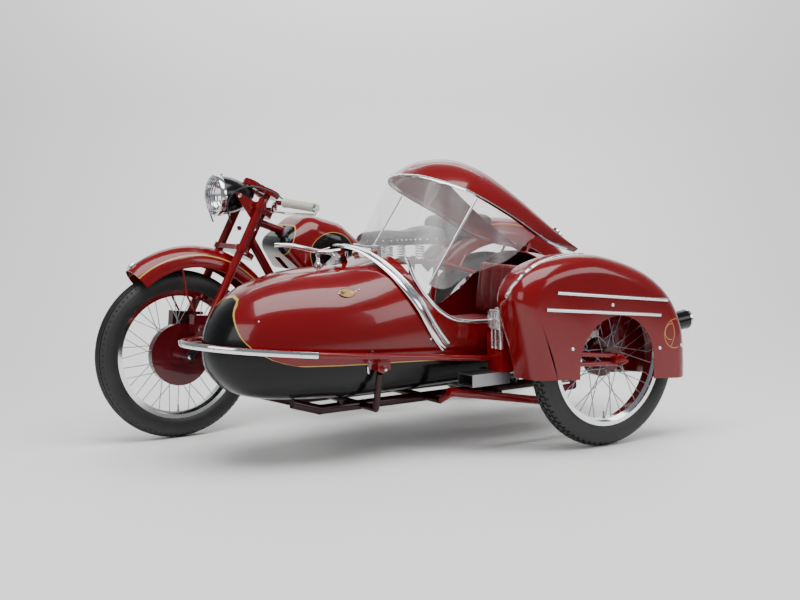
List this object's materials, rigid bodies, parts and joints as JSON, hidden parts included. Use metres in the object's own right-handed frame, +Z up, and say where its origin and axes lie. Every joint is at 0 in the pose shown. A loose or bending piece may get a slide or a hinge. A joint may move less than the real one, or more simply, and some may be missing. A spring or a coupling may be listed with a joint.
{
  "type": "motorcycle with a covered sidecar",
  "caption": "Vintage motorcycle with a spoked-wheel sidecar on its left, a rounded nose, a hinged windshield and roof, turning wheels and raked steering.",
  "frame": {"origin": "on the ground under the middle of the whole machine", "axes": "+X forward, +Y to the left towards the sidecar, +Z up"},
  "size_m": [2.3518, 1.6516, 1.078],
  "materials": {
    "paint_red": "gloss",
    "paint_maroon": "gloss",
    "paint_black": "gloss",
    "chrome": "polished",
    "steel": "satin",
    "aluminium": "cast",
    "tyre": "matt",
    "rubber": "matt",
    "leather_black": "semi-gloss",
    "leather_red": "semi-gloss",
    "glass": "clear",
    "wood": "painted"
  },
  "bodies": {
    "machine": {"frame": "paint_red", "crankcase": "aluminium", "cylinder": "aluminium", "exhaust": "chrome", "tank": "paint_red", "saddle": "leather_black", "saddle_springs": "steel", "pillion": "leather_black", "rear_mudguard": "paint_red", "tail_lamps": "paint_black", "chassis": "paint_maroon", "bumper_rail": "paint_red", "sidecar_body": "paint_red", "cockpit_trim": "chrome", "seat_box": "wood", "sidecar_seat": "leather_red", "fender": "paint_red", "chrome_strips": "chrome", "side_lamp": "chrome", "step_box": "steel", "sidecar_axle": "paint_maroon"},
    "steering": {"fork": "paint_red", "spring_boxes": "paint_maroon", "fork_links": "chrome", "headlamp": "paint_black", "headlamp_lens": "glass", "handlebar": "chrome", "grips": "rubber", "levers": "chrome", "front_mudguard": "paint_red", "mudguard_stays": "paint_maroon", "front_brake_plate": "paint_maroon"},
    "front_wheel": {"front_tyre": "tyre", "front_rim": "chrome", "front_spokes": "steel", "front_hub": "paint_maroon"},
    "rear_wheel": {"rear_tyre": "tyre", "rear_rim": "chrome", "rear_spokes": "steel", "rear_hub": "paint_maroon"},
    "sidecar_wheel": {"sidecar_tyre": "tyre", "sidecar_rim": "chrome", "sidecar_spokes": "steel", "sidecar_hub": "paint_maroon"},
    "canopy": {"roof": "paint_red", "windshield": "glass", "side_windows": "glass", "canopy_trim": "chrome"}
  },
  "joints": [
    {"name": "steering", "type": "hinge", "parent": "machine", "child": "steering", "pos_m": [0.49473, -0.4245, 0.79465], "axis": [-0.4695, 0, 0.8829], "range_deg": [-32, 32]},
    {"name": "front_wheel_spin", "type": "hinge", "parent": "steering", "child": "front_wheel", "pos_m": [0.83525, -0.4245, 0.3315], "axis": [0, 1, 0], "continuous": true},
    {"name": "rear_wheel_spin", "type": "hinge", "parent": "machine", "child": "rear_wheel", "pos_m": [-0.66675, -0.4245, 0.3315], "axis": [0, 1, 0], "continuous": true},
    {"name": "sidecar_wheel_spin", "type": "hinge", "parent": "machine", "child": "sidecar_wheel", "pos_m": [-0.39975, 0.6975, 0.3315], "axis": [0, 1, 0], "continuous": true},
    {"name": "canopy_hinge", "type": "hinge", "parent": "machine", "child": "canopy", "pos_m": [0.32325, 0.1955, 0.757], "axis": [0, 1, 0], "range_deg": [0, 55]}
  ]
}
